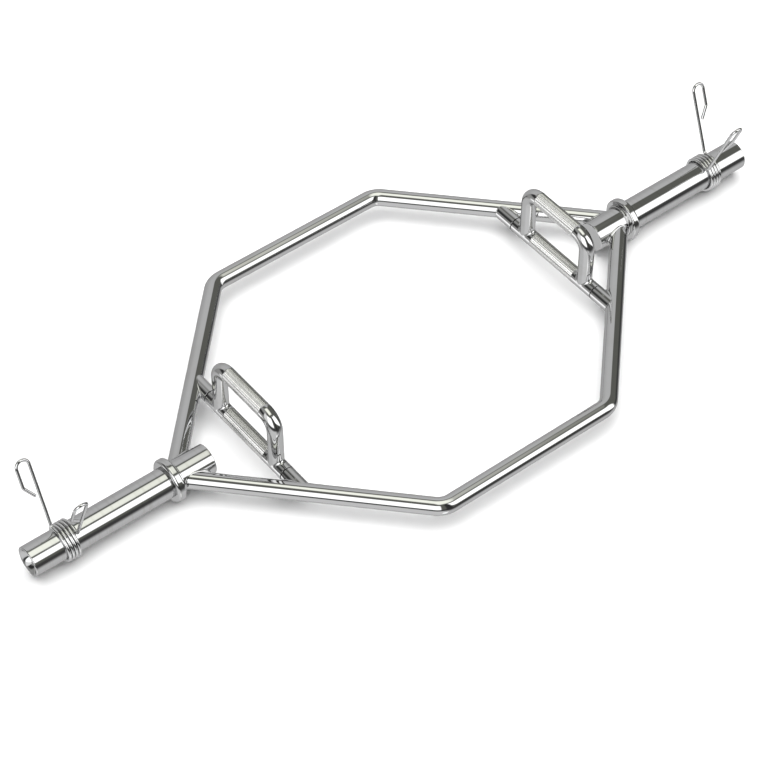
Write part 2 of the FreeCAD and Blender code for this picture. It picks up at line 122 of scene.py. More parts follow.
def ramp(tree, value, start, end):
    """A smooth step from nought to one while the value goes from start to end."""
    inputs = {"Value": value, "From Min": start, "From Max": end}
    return node(tree, "ShaderNodeMapRange", inputs, interpolation_type="SMOOTHSTEP").outputs["Result"]


def both(*masks):
    """The part that several masks have in common."""
    common = masks[0]
    for mask in masks[1:]:
        common = math_node(studio, "MULTIPLY", common, mask)
    return common


def window(value, low, high, soft):
    """A mask that is one between two limits, with soft edges."""
    return both(ramp(studio, value, low - soft, low + soft), ramp(studio, value, high + soft, high - soft))


def painted(tree, below, mask, colour):
    """Lay a colour over another through a mask."""
    inputs = {MIX_FACTOR: mask, MIX_BELOW: below, MIX_ABOVE: (*colour, 1.0)}
    return node(tree, "ShaderNodeMix", inputs, data_type="RGBA").outputs[MIX_RESULT]


print("brushes: a smooth step, a window and a coat of paint")

# %% Room and floor
# In degrees, a fade is a start and an end, and a window a low limit, a high one and their softness.
ROOM, HORIZON, FLOOR_GREY = (0.165, 0.167, 0.150), (0.070, 0.070, 0.070), (0.76, 0.76, 0.76)
HORIZON_FADE, FLOOR_FADE = (12, -4), (-12, -38)
light = painted(studio, (*ROOM, 1.0), ramp(studio, height, *HORIZON_FADE), HORIZON)
light = painted(studio, light, ramp(studio, height, *FLOOR_FADE), FLOOR_GREY)

NEAR_GLOW, NEAR_GLOW_BEARINGS, NEAR_GLOW_FADE = (0.88, 0.88, 0.88), (-170, -95, 15), (-9, -20)
near_glow = both(window(bearing, *NEAR_GLOW_BEARINGS), ramp(studio, height, *NEAR_GLOW_FADE))
light = painted(studio, light, near_glow, NEAR_GLOW)
print("nodes for the room:", len(studio.nodes))

# %% Side wall, dark room behind and backdrop
SIDE_WALL, DARK = (0.42, 0.42, 0.41), (0.045, 0.045, 0.045)
SIDE_WALL_BEARINGS, SIDE_WALL_HEIGHTS, GAP_HEIGHTS = (-95, -18, 12), (-22, 72, 10), (13, 42, 8)
side_wall = window(bearing, *SIDE_WALL_BEARINGS)
light = painted(studio, light, both(side_wall, window(height, *SIDE_WALL_HEIGHTS)), SIDE_WALL)
light = painted(studio, light, both(side_wall, window(height, *GAP_HEIGHTS)), DARK)

BEHIND_FADE, BEHIND_HEIGHTS = (166, 174), (-9, 62, 6)
behind = ramp(studio, math_node(studio, "ABSOLUTE", bearing), *BEHIND_FADE)
light = painted(studio, light, both(behind, window(height, *BEHIND_HEIGHTS)), DARK)

BACKDROP, BACKDROP_TOP = (0.61, 0.61, 0.61), (0.71, 0.71, 0.71)
BACKDROP_BEARINGS, BACKDROP_FADE, BACKDROP_TOP_FADE = (-22, 57, 4), (59, 47), (5, 40)
backdrop = both(window(bearing, *BACKDROP_BEARINGS), ramp(studio, height, *BACKDROP_FADE))
light = painted(studio, light, backdrop, BACKDROP)
light = painted(studio, light, both(backdrop, ramp(studio, height, *BACKDROP_TOP_FADE)), BACKDROP_TOP)
print("nodes with walls and backdrop:", len(studio.nodes))

# %% Soft boxes
WHITE, FILL = (2.2, 2.2, 2.2), (1.15, 1.15, 1.15)
LEFT_BOX, LEFT_FILL, LEFT_HEIGHTS = (-153, -106, 4), (-110, -80, 4), (4, 52, 5)
left_heights = window(height, *LEFT_HEIGHTS)
light = painted(studio, light, both(window(bearing, *LEFT_FILL), left_heights), FILL)
light = painted(studio, light, both(window(bearing, *LEFT_BOX), left_heights), WHITE)

RIGHT_BOX = (119, 170, 4)
LOWER_EDGE_RISE, LOWER_EDGE, UPPER_EDGE_RISE, UPPER_EDGE = 0.85, (-121, -113), 0.33, (9.5, -0.5)


def above_line(rise):
    """The ray's height over a line that rises with the bearing."""
    return math_node(studio, "SUBTRACT", height, math_node(studio, "MULTIPLY", bearing, rise))


right_box = both(ramp(studio, above_line(LOWER_EDGE_RISE), *LOWER_EDGE),
                 ramp(studio, above_line(UPPER_EDGE_RISE), *UPPER_EDGE),
                 window(bearing, *RIGHT_BOX))
light = painted(studio, light, right_box, WHITE)
print("nodes with soft boxes:", len(studio.nodes))

# %% Bright strips of floor and ceiling panel
STRIP, CREAM = (1.7, 1.7, 1.7), (1.55, 1.57, 1.42)
LEFT_STRIP, LEFT_STRIP_HEIGHTS = (-68, -48, 4), (-33, -12, 4)
NEAR_STRIP, NEAR_STRIP_HEIGHTS = (-179, -161, 3), (-60, -36, 5)
for bearings, heights in ((LEFT_STRIP, LEFT_STRIP_HEIGHTS), (NEAR_STRIP, NEAR_STRIP_HEIGHTS)):
    light = painted(studio, light, both(window(bearing, *bearings), window(height, *heights)), STRIP)

CEILING_LEFT, CEILING_RIGHT = (-0.28, -0.12), (0.62, 0.26)
CEILING_DEPTH, CEILING_FADE = (-0.36, 0.33, 0.08), (30, 40)
overhead_x = math_node(studio, "DIVIDE", axes["X"], axes["Z"])
overhead_y = math_node(studio, "DIVIDE", axes["Y"], axes["Z"])
ceiling = both(ramp(studio, overhead_x, *CEILING_LEFT), ramp(studio, overhead_x, *CEILING_RIGHT),
               window(overhead_y, *CEILING_DEPTH), ramp(studio, height, *CEILING_FADE))
light = painted(studio, light, ceiling, CREAM)
print("nodes with all lights:", len(studio.nodes))

# %% [markdown]
# ## The floor and its light
#
# The floor is a plain white sweep. In the photograph it is burnt out to pure white, with a soft shadow
# close under each tube, so its light comes from a wide disc overhead. Light Path lets one world hold both
# studios: rays that leave the floor see the disc, the camera sees white, and the chrome sees the panels.
# The chrome doesn't mirror the floor's mesh, because the lower half of the world already holds what it
# sees there.

# %% Overhead light for the floor
OVERHEAD, OVERHEAD_FADE = (3.15, 3.15, 3.15), (38, 52)
BLACK, PURE_WHITE = (0.0, 0.0, 0.0), (1.0, 1.0, 1.0)
path = node(studio, "ShaderNodeLightPath").outputs
for_floor = ramp(studio, path["Diffuse Depth"], 0, 1)
light = painted(studio, light, for_floor, BLACK)
light = painted(studio, light, both(for_floor, ramp(studio, height, *OVERHEAD_FADE)), OVERHEAD)
light = painted(studio, light, path["Is Camera Ray"], PURE_WHITE)
background = node(studio, "ShaderNodeBackground", {"Color": light, "Strength": 1.0})
node(studio, "ShaderNodeOutputWorld", {"Surface": background.outputs["Background"]})
world.cycles.sampling_method = "NONE"
print("nodes in the studio:", len(studio.nodes))

# %% Floor
FLOOR_REACH = 20.0
floor_bm = bmesh.new()
bmesh.ops.create_grid(floor_bm, x_segments=1, y_segments=1, size=FLOOR_REACH)
floor_mesh = bpy.data.meshes.new("studio_floor")
floor_bm.to_mesh(floor_mesh)
floor_bm.free()
floor = bpy.data.objects.new("studio_floor", floor_mesh)
scene.collection.objects.link(floor)
print("floor reaches", FLOOR_REACH, "m from the middle")

# %% Floor paint
FLOOR_WHITE = (0.9, 0.9, 0.9, 1.0)
floor_paint = bpy.data.materials.new("floor_paint")
floor_paint.use_nodes = True
floor_tree = floor_paint.node_tree
paint = floor_tree.nodes["Principled BSDF"]
paint.inputs["Base Color"].default_value = FLOOR_WHITE
paint.inputs["Roughness"].default_value = 1.0
paint.inputs["Specular IOR Level"].default_value = 0.0
path = node(floor_tree, "ShaderNodeLightPath").outputs
before_floor = ramp(floor_tree, path["Diffuse Depth"], 1, 0)
mirrored_view = math_node(floor_tree, "MULTIPLY", path["Is Glossy Ray"], before_floor)
clear = node(floor_tree, "ShaderNodeBsdfTransparent").outputs["BSDF"]
surface = node(floor_tree, "ShaderNodeMixShader", {0: mirrored_view, 1: paint.outputs["BSDF"], 2: clear})
floor_tree.links.new(surface.outputs["Shader"], floor_tree.nodes["Material Output"].inputs["Surface"])
floor_mesh.materials.append(floor_paint)
print("floor paint nodes:", len(floor_tree.nodes))

# %% [markdown]
# ## The chrome
#
# Bright chrome on polished steel is a mirror with small faults: a faint film where it was wiped or
# handled, and fine polishing lines. Both go into one node group, which each finish uses at its own
# strength. The group gives out a mask for the film, a roughness and a height; the shader itself stays in
# each material. Squeezing the pattern along the bar gives turning marks, which run round lathe work.

# %% Polish marks as a node group
HAZE_DETAIL, HAZE_ROUGHNESS, LINE_DETAIL, FILM_RANGE = 4.0, 0.55, 2.0, (0.45, 0.75)


def new_group(name, inputs, outputs):
    """A shader group with a vector input for the place on the piece, and float inputs and outputs."""
    group = bpy.data.node_groups.new(name, "ShaderNodeTree")
    group.interface.new_socket("Vector", in_out="INPUT", socket_type="NodeSocketVector")
    for socket in inputs:
        group.interface.new_socket(socket, in_out="INPUT", socket_type="NodeSocketFloat")
    for socket in outputs:
        group.interface.new_socket(socket, in_out="OUTPUT", socket_type="NodeSocketFloat")
    return group, node(group, "NodeGroupInput").outputs, node(group, "NodeGroupOutput").inputs


polish, given, result = new_group("polish_marks", ("Clean", "Hazy", "Haze Scale", "Line Scale"),
                                  ("Film", "Roughness", "Height"))
haze = node(polish, "ShaderNodeTexNoise", {"Vector": given["Vector"], "Scale": given["Haze Scale"],
                                           "Detail": HAZE_DETAIL, "Roughness": HAZE_ROUGHNESS})
lines = node(polish, "ShaderNodeTexNoise", {"Vector": given["Vector"], "Scale": given["Line Scale"],
                                            "Detail": LINE_DETAIL})
film = ramp(polish, haze.outputs["Fac"], *FILM_RANGE)
rough = node(polish, "ShaderNodeMapRange", {"Value": film, "To Min": given["Clean"], "To Max": given["Hazy"]})
polish.links.new(film, result["Film"])
polish.links.new(rough.outputs["Result"], result["Roughness"])
polish.links.new(lines.outputs["Fac"], result["Height"])
print("polish group nodes:", len(polish.nodes))

# %% Chrome finishes
CHROME, CHROME_FILM = (0.58, 0.582, 0.585), (0.545, 0.545, 0.54)
CHROME_EDGE = (0.72, 0.72, 0.72, 1.0)
EVEN, TURNED = (1.0, 1.0, 1.0), (14.0, 1.0, 1.0)
LINE_DEPTH, LINE_STRENGTH = 0.00002, 0.2


def chrome(name, roughness, haze_scale, line_scale, scale=EVEN, colour=CHROME, film=CHROME_FILM):
    """A chrome finish: a metal shader with polish marks at their own strength."""
    material = bpy.data.materials.new(name)
    material.use_nodes = True
    tree = material.node_tree
    shader = tree.nodes["Principled BSDF"]
    shader.inputs["Metallic"].default_value = 1.0
    shader.inputs["Specular Tint"].default_value = CHROME_EDGE
    clean, hazy = roughness
    place = node(tree, "ShaderNodeTexCoord").outputs["Object"]
    scaled = node(tree, "ShaderNodeMapping", {"Vector": place, "Scale": scale}).outputs["Vector"]
    marks = node(tree, "ShaderNodeGroup", node_tree=polish)
    tree.links.new(scaled, marks.inputs["Vector"])
    for socket, number in (("Clean", clean), ("Hazy", hazy), ("Haze Scale", haze_scale),
                           ("Line Scale", line_scale)):
        marks.inputs[socket].default_value = number
    filmed = painted(tree, (*colour, 1.0), marks.outputs["Film"], film)
    tree.links.new(filmed, shader.inputs["Base Color"])
    tree.links.new(marks.outputs["Roughness"], shader.inputs["Roughness"])
    bump = node(tree, "ShaderNodeBump", {"Height": marks.outputs["Height"], "Strength": LINE_STRENGTH,
                                         "Distance": LINE_DEPTH})
    tree.links.new(bump.outputs["Normal"], shader.inputs["Normal"])
    print("finish:", name)
    return material


WIRE, WIRE_FILM = (0.66, 0.662, 0.665), (0.62, 0.62, 0.615)
STEEL, STEEL_FILM = (0.30, 0.30, 0.29), (0.20, 0.20, 0.19)
frame_chrome = chrome("frame_chrome", roughness=(0.02, 0.07), haze_scale=9.0, line_scale=60.0)
sleeve_chrome = chrome("sleeve_chrome", roughness=(0.02, 0.07), haze_scale=12.0, line_scale=60.0,
                       scale=TURNED)
grip_chrome = chrome("grip_chrome", roughness=(0.03, 0.08), haze_scale=30.0, line_scale=90.0)
wire_chrome = chrome("clip_wire", roughness=(0.05, 0.12), haze_scale=60.0, line_scale=200.0,
                     colour=WIRE, film=WIRE_FILM)
bore_steel = chrome("bore_steel", roughness=(0.30, 0.42), haze_scale=60.0, line_scale=300.0,
                    colour=STEEL, film=STEEL_FILM)

# %% [markdown]
# ## Turned pieces
#
# Sleeves, collars and end caps come off a lathe, so we make them as a turner does: draw half of the
# section as a few points, and spin it round the bar's axis. The corners that the turner would break get a
# bevel with several segments, because on chrome even a small rounding catches a bright line. The sleeve's
# mouth flares out from the bore to the lip on one large arc, which is why it shows a broad bright spot
# with dark crescents round it. Everything is drawn in millimetres and scaled to metres at the end.

# %% A lathe
AXIS_HEIGHT = 36.0
AROUND = 160
HOLD = 0.8
LONG_RUN = 4 * HOLD
LEAST_SEGMENTS, SEGMENTS_PER_MM = 5, 2
AXIS_POINT = Vector((0, 0, AXIS_HEIGHT))
X_AXIS, Y_AXIS, Z_AXIS = Vector((1, 0, 0)), Vector((0, 1, 0)), Vector((0, 0, 1))


def lathe(section):
    """Spin a closed half section of (station, radius, rounding) points round the bar's axis."""
    bm = bmesh.new()
    corners = [bm.verts.new((station, 0, AXIS_HEIGHT + radius)) for station, radius, _ in section]
    for corner, following in zip(corners, corners[1:] + corners[:1]):
        bm.edges.new((corner, following))
    for corner, (_, _, rounding) in zip(corners, section):
        if rounding:
            bmesh.ops.bevel(bm, geom=[corner], offset=rounding, profile=0.5, affect="VERTICES", material=-1,
                            segments=LEAST_SEGMENTS + int(SEGMENTS_PER_MM * rounding))
    for run in [edge for edge in bm.edges if edge.calc_length() > LONG_RUN]:
        for end in list(run.verts):
            bmesh.utils.edge_split(run, end, HOLD / run.calc_length())
    bmesh.ops.spin(bm, geom=bm.verts[:] + bm.edges[:], cent=AXIS_POINT, axis=X_AXIS, angle=2 * math.pi,
                   steps=AROUND, use_merge=True)
    return bm


print("faces round each turned piece:", AROUND)

# %% From a drawing in millimetres to a piece
METRES_PER_MM = 0.001
MERGE_DISTANCE = 0.0005
SHARP_ANGLE = 32


def smooth_all(bm):
    """Shade every face smooth; sharp edges are found later by their angle."""
    for face in bm.faces:
        face.smooth = True


def new_piece(bm, name, finishes, nodes):
    """Make an object of a bmesh that was drawn in millimetres, in place of CAD nodes."""
    bmesh.ops.remove_doubles(bm, verts=bm.verts, dist=MERGE_DISTANCE)
    bmesh.ops.recalc_face_normals(bm, faces=bm.faces)
    bmesh.ops.scale(bm, vec=(METRES_PER_MM,) * 3, verts=bm.verts)
    mesh = bpy.data.meshes.new(name)
    bm.to_mesh(mesh)
    bm.free()
    for finish in finishes:
        mesh.materials.append(finish)
    mesh.set_sharp_from_angle(angle=math.radians(SHARP_ANGLE))
    piece = bpy.data.objects.new(name, mesh)
    scene.collection.objects.link(piece)
    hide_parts(*nodes)
    print(name, "faces:", len(mesh.polygons))
    return piece


print("edges over", SHARP_ANGLE, "degrees stay sharp")

# %% Section of a sleeve
MOUTH_X, COLLAR_FACE_X, TUBE_END_X = 707.5, 462.0, 389.0
SLEEVE_RADIUS, BORE_RADIUS = 25.0, 12.0
RELIEF_WIDTH, RELIEF_DEPTH, RELIEF_EDGE = 1.2, 0.5, 0.2
MOUTH_ROUND, LIP_RADIUS = 1.82, 22.3
FLARE_START, FLARE_END, FLARE_STEPS = math.radians(31), math.radians(77), 24
flare_radius = (LIP_RADIUS - BORE_RADIUS) / (math.sin(FLARE_END) - math.sin(FLARE_START))
flare_angles = [FLARE_START + (FLARE_END - FLARE_START) * step / FLARE_STEPS
                for step in range(FLARE_STEPS + 1)]
flare = [(MOUTH_X - flare_radius * (math.cos(FLARE_START) - math.cos(angle)),
          LIP_RADIUS - flare_radius * (math.sin(angle) - math.sin(FLARE_START)), 0)
         for angle in flare_angles]
sleeve_section = (
    (TUBE_END_X, BORE_RADIUS, 0),
    (TUBE_END_X, SLEEVE_RADIUS, 0),
    (COLLAR_FACE_X, SLEEVE_RADIUS, 0),
    (COLLAR_FACE_X, SLEEVE_RADIUS - RELIEF_DEPTH, 0),
    (COLLAR_FACE_X + RELIEF_WIDTH, SLEEVE_RADIUS - RELIEF_DEPTH, 0),
    (COLLAR_FACE_X + RELIEF_WIDTH, SLEEVE_RADIUS, RELIEF_EDGE),
    (MOUTH_X, SLEEVE_RADIUS, MOUTH_ROUND),
    *flare,
)
print("the mouth flares on a radius of", round(flare_radius, 1), "mm")

# %% Sleeves
SIDES = (("left", -1), ("right", 1))
BORE_TOLERANCE, BORE_INDEX = 0.05, 1


def bore_faces(bm):
    """Faces of the inside of the tube, back from its flared mouth."""
    across, limit = Vector((0, 1, 1)), BORE_RADIUS + BORE_TOLERANCE
    return [face for face in bm.faces
            if (face.calc_center_median() * across - AXIS_POINT).length < limit]


def turned_piece(side_name, side, node_name, section, finishes):
    """A lathe piece, turned round to its own side of the bar."""
    bm = lathe([(side * station, radius, rounding) for station, radius, rounding in section])
    smooth_all(bm)
    if len(finishes) > BORE_INDEX:
        for face in bore_faces(bm):
            face.material_index = BORE_INDEX
    name = f"{side_name}_{node_name}"
    piece = new_piece(bm, f"{name}_turned", finishes, [name])
    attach(piece, "bar")


for side_name, side in SIDES:
    turned_piece(side_name, side, "sleeve", sleeve_section, (sleeve_chrome, bore_steel))

# %% [markdown]
# ## Stop collars and end caps
#
# The collar is a ring with a full round on its plate side, a smaller one behind, and a low step towards
# the frame. The cap closes the sleeve's inner end with a thin chamfered disc. A disc could be one bevelled
# cylinder, but the lathe gives both pieces from a section that reads like a drawing.

# %% Section of a collar
COLLAR_BACK_X, COLLAR_END_X = 448.0, 443.5
COLLAR_RADIUS, COLLAR_STEP_RADIUS, COLLAR_FIT = 36.0, 28.0, 0.02
FACE_ROUND, BACK_ROUND, STEP_ROUND, NECK_ROUND = 5.0, 3.1, 1.5, 0.5
COLLAR_BORE = SLEEVE_RADIUS + COLLAR_FIT
collar_section = (
    (COLLAR_END_X, COLLAR_BORE, 0),
    (COLLAR_END_X, COLLAR_STEP_RADIUS, STEP_ROUND),
    (COLLAR_BACK_X, COLLAR_STEP_RADIUS, NECK_ROUND),
    (COLLAR_BACK_X, COLLAR_RADIUS, BACK_ROUND),
    (COLLAR_FACE_X, COLLAR_RADIUS, FACE_ROUND),
    (COLLAR_FACE_X, COLLAR_BORE, 0),
)
print("a collar is", 2 * COLLAR_RADIUS, "mm across")

# %% Section of a cap, and all four pieces
TAIL_X, CAP_CHAMFER, CAP_EDGE, PLUG_LENGTH, PLUG_RADIUS = 385.0, 0.8, 0.25, 8.0, 11.9
cap_section = (
    (TAIL_X, 0, 0),
    (TAIL_X, SLEEVE_RADIUS - CAP_CHAMFER, CAP_EDGE),
    (TAIL_X + CAP_CHAMFER, SLEEVE_RADIUS, CAP_EDGE),
    (TUBE_END_X, SLEEVE_RADIUS, 0),
    (TUBE_END_X, PLUG_RADIUS, 0),
    (TUBE_END_X + PLUG_LENGTH, PLUG_RADIUS, 0),
    (TUBE_END_X + PLUG_LENGTH, 0, 0),
)
for side_name, side in SIDES:
    turned_piece(side_name, side, "stop_collar", collar_section, (sleeve_chrome,))
    turned_piece(side_name, side, "inner_end_cap", cap_section, (sleeve_chrome,))

# %% [markdown]
# ## Bent tubes
#
# The hexagon, the raised grips and the clips are all round stock that goes through a bender: feed a length,
# bend, feed again. The helper below works in the same order. It starts from one circle of edges; feeding
# extrudes the circle, and bending spins it about the bend's centre. A straight run gets a ring close to
# each end, which keeps the shading of the bend from creeping along the run.

# %% A tube bender
class BentTube:
    """Round stock that is fed and bent from a first ring."""

    def __init__(self, start, heading, radius, around):
        self.bm = bmesh.new()
        self.point, self.heading, self.radius = Vector(start), Vector(heading).normalized(), radius
        turn = self.heading.to_track_quat("Z", "Y").to_matrix().to_4x4()
        bmesh.ops.create_circle(self.bm, segments=around, radius=radius,
                                matrix=Matrix.Translation(self.point) @ turn)
        self.ring = self.bm.edges[:]

    def next_ring(self):
        """A copy of the last ring, joined to it by faces."""
        made = bmesh.ops.extrude_edge_only(self.bm, edges=self.ring)["geom"]
        self.ring = [item for item in made if isinstance(item, bmesh.types.BMEdge)]
        return [item for item in made if isinstance(item, bmesh.types.BMVert)]

    def taper(self, length, radius):
        """Go on to a ring of another radius, straight ahead or in the same place."""
        verts = self.next_ring()
        bmesh.ops.translate(self.bm, vec=self.heading * length, verts=verts)
        self.point += self.heading * length
        grow = radius / self.radius
        bmesh.ops.scale(self.bm, vec=(grow,) * 3, space=Matrix.Translation(-self.point), verts=verts)
        self.radius = radius

    def feed(self, length):
        """Go straight on, with a ring close to each end of the run."""
        for step in (HOLD, length - 2 * HOLD, HOLD):
            self.taper(step, self.radius)

    def bend(self, towards, bend_radius, degrees, steps):
        """Bend towards a direction that is square to the heading."""
        towards = Vector(towards).normalized()
        self.wind(self.point + towards * bend_radius, self.heading.cross(towards), degrees, steps, lead=0.0)

    def wind(self, centre, axis, degrees, steps, lead):
        """Spin the ring about an axis, with a lead along the axis for each full turn."""
        angle = math.radians(degrees)
        creep = axis.normalized() * (lead * degrees / 360 / steps)
        verts = list({vert for edge in self.ring for vert in edge.verts})
        made = bmesh.ops.spin(self.bm, geom=self.ring + verts, cent=centre, axis=axis, dvec=creep,
                              angle=angle, steps=steps, use_duplicate=False)
        self.ring = [item for item in made["geom_last"] if isinstance(item, bmesh.types.BMEdge)]
        turn = Matrix.Rotation(angle, 3, axis)
        self.point = turn @ (self.point - centre) + centre + creep * steps
        self.heading = turn @ self.heading

    def close(self):
        """Fill the last ring."""
        bmesh.ops.edgeloop_fill(self.bm, edges=self.ring)


def mirror_half(bm, axis):
    """Complete a half piece with its mirror image."""
    bmesh.ops.mirror(bm, geom=bm.verts[:] + bm.edges[:] + bm.faces[:], axis=axis, merge_dist=MERGE_DISTANCE)


print("bender ready, with rings", HOLD, "mm from each end of a run")

# %% [markdown]
# ## Welds
#
# Where a tube is welded on another one, its last rings lie on the round surface that they meet and widen
# into the weld. Two kinds show on the real bar: the hexagon and the stubs have a raised bead, as it left
# the torch, and the feet of the raised grips have a hollow fillet that was ground smooth before plating.
# Either is full where the two surfaces meet squarely, and fades where one runs on into the other, as at the
# flanks of tubes of nearly one size. A torus could be joined on instead, but rings of the tube itself leave
# one closed skin for the chrome.

# %% Welding a tube to a round bar
WELD_RINGS = 7
TUCK = 1.5
WIDEST_SHARE = 1.2


def landing(start, heading, base_point, base_axis, base_radius):
    """Where a line meets a round bar, and the bar's outward direction there."""
    offset = start - base_point
    offset -= base_axis * offset.dot(base_axis)
    slope = heading - base_axis * heading.dot(base_axis)
    a, b, c = slope.dot(slope), offset.dot(slope), offset.dot(offset) - base_radius ** 2
    reach = (-b - math.sqrt(max(b * b - a * c, 0.0))) / a
    return start + heading * reach, (offset + slope * reach).normalized()


def lay_on(tube, widen, lift, base_point, base_axis, base_radius):
    """Lay the next ring of a tube on a round bar, wider and higher by its share of the weld."""
    for vert in tube.next_ring():
        spoke = vert.co - tube.point
        spoke = (spoke - tube.heading * spoke.dot(tube.heading)).normalized()
        edge_point = tube.point + spoke * tube.radius
        _, outward = landing(edge_point, tube.heading, base_point, base_axis, base_radius)
        share = min(1.0 - outward.dot(spoke), WIDEST_SHARE)
        start = tube.point + spoke * (tube.radius + widen * share)
        vert.co, _ = landing(start, tube.heading, base_point, base_axis, base_radius + lift * share)


def weld_on(tube, base_point, base_axis, base_radius, size, hollow):
    """End on a round bar with a hollow or a raised weld, and tuck the last ring under its surface."""
    base = (Vector(base_point), Vector(base_axis).normalized())
    lay_on(tube, 0.0, size + HOLD, *base, base_radius)
    for step in range(WELD_RINGS + 1):
        angle = math.radians(90 * step / WELD_RINGS)
        widen, lift = math.sin(angle), math.cos(angle)
        if hollow:
            widen, lift = 1 - lift, 1 - widen
        lay_on(tube, size * widen, size * lift, *base, base_radius)
    lay_on(tube, size, 0.0, *base, base_radius - TUCK)
    tube.close()


print("rings in each weld:", WELD_RINGS)

# %% [markdown]
# ## The hexagon
#
# Each half of the hexagon is one tube with two bends. Half of that half is enough to draw: from the middle
# of the long side, round the bend and up the diagonal to the sleeve. The mirror makes the rest.

# %% Frame tubes
FRAME_Y, FRAME_RADIUS, FRAME_BEND, FRAME_BEND_STEPS = 294.5, 14.3, 34.0, 24
FRAME_ANGLE, APEX_X, CORNER_X = 46.0, 447.163, 162.77
FRAME_AROUND, FRAME_BEAD, SHORT_OF_SLEEVE = 96, 3.0, 80.0
setback = FRAME_BEND * math.tan(math.radians(FRAME_ANGLE / 2))
diagonal_length = math.hypot(APEX_X - CORNER_X, FRAME_Y)
for name, end in (("front_frame_tube", -1), ("rear_frame_tube", 1)):
    tube = BentTube((0, end * FRAME_Y, AXIS_HEIGHT), X_AXIS, FRAME_RADIUS, FRAME_AROUND)
    tube.feed(CORNER_X - setback)
    tube.bend(-end * Y_AXIS, FRAME_BEND, FRAME_ANGLE, FRAME_BEND_STEPS)
    tube.feed(diagonal_length - setback - SHORT_OF_SLEEVE)
    weld_on(tube, AXIS_POINT, X_AXIS, SLEEVE_RADIUS, FRAME_BEAD, hollow=False)
    mirror_half(tube.bm, "X")
    smooth_all(tube.bm)
    piece = new_piece(tube.bm, f"{name}_bent", (frame_chrome,), [name])
    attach(piece, "bar")

# %% [markdown]
# ## Handle stubs
#
# A short stub is welded on each diagonal, and the low grip sits between two of them with a thin seam at
# each end. The seam is a narrow square groove whose faces get a near-black material of their own: painted
# shade, for the dark line that the deep groove shows between the pieces.

# %% Painted shade for the seam
HANDLE_X, HANDLE_RADIUS, SEAM_Y = 308.0, 13.0, 98.5
SEAM_HALF_WIDTH, SEAM_RADIUS, EDGE_BREAK, SEAM_TOLERANCE = 0.9, 11.9, 0.15, 0.01
# Near-black painted shade for the faces of the seam's groove
SEAM_SHADE, SEAM_SHADE_FILM, SEAM_INDEX = (0.03, 0.03, 0.028), (0.02, 0.02, 0.019), 1
seam_shade = chrome("seam_shade", roughness=(0.45, 0.60), haze_scale=90.0, line_scale=300.0,
                    colour=SEAM_SHADE, film=SEAM_SHADE_FILM)


def seam_faces(bm):
    """Faces of the groove beside a seam."""
    first, last = SEAM_Y - SEAM_HALF_WIDTH, SEAM_Y + SEAM_HALF_WIDTH + SEAM_TOLERANCE
    return [face for face in bm.faces if first <= abs(face.calc_center_median().y) <= last]


# %% Stubs
HANDLE_AROUND, HANDLE_BEAD = 120, 2.2
diagonal = Vector((APEX_X - CORNER_X, -FRAME_Y, 0)).normalized()
for side_name, side in SIDES:
    for end_name, end in (("front", -1), ("rear", 1)):
        start = (side * HANDLE_X, end * SEAM_Y, AXIS_HEIGHT)
        stub = BentTube(start, end * Y_AXIS, SEAM_RADIUS, HANDLE_AROUND)
        stub.close()
        stub.taper(SEAM_HALF_WIDTH, SEAM_RADIUS)
        stub.taper(0.0, HANDLE_RADIUS - EDGE_BREAK)
        stub.taper(EDGE_BREAK, HANDLE_RADIUS)
        apex = Vector((side * APEX_X, 0, AXIS_HEIGHT))
        along_frame = Vector((side * diagonal.x, end * diagonal.y, 0))
        weld_on(stub, apex, along_frame, FRAME_RADIUS, HANDLE_BEAD, hollow=False)
        smooth_all(stub.bm)
        for face in seam_faces(stub.bm):
            face.material_index = SEAM_INDEX
        name = f"{side_name}_{end_name}_handle_stub"
        piece = new_piece(stub.bm, f"{name}_coped", (grip_chrome, seam_shade), [name])
        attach(piece, "bar")

# %% [markdown]
# ## Low grips and their knurl
#
# Where the hand goes the bar is knurled: two sets of crossing grooves leave rows of small pyramids. That is
# real geometry here. The bar is fed in steps of half a pitch, every second vertex of each line along the
# bar is lowered, and a square with low corners across from each other is split between them, which leaves
# the grooves on the diagonals. Round the bar the net is uneven: a vertex lies where its place less half a
# step can be rounded either way, so some lines match their neighbour, and their points join to short
# ridges. Rounding the place itself would make it even. The plating lies thinner and duller on a knurl, so
# it gets a satin finish. Its colour is a little brighter than the mirror round it, as painted sheen for the
# light that the knurl's facets scatter.

# %% A knurl
KNURL_DEPTH, KNURL_PITCH = 0.32, 1.36
KNURL_ROW, HALF_STEP = KNURL_PITCH / 2, 0.5
# Satin roughness, with a colour brighter than the chrome as painted sheen
SATIN_SHEEN, SATIN_SHEEN_FILM, KNURL_INDEX = (0.82, 0.82, 0.81), (0.76, 0.76, 0.75), 2
knurl_satin_sheen = chrome("knurl_satin_sheen", roughness=(0.14, 0.22), haze_scale=40.0, line_scale=400.0,
                     colour=SATIN_SHEEN, film=SATIN_SHEEN_FILM)


def feed_knurl(bar, half_length):
    """Feed the bar in steps of half a pitch, and say how far that went."""
    rows = round(half_length / KNURL_ROW)
    for _ in range(rows):
        bar.taper(KNURL_ROW, bar.radius)
    return rows * KNURL_ROW


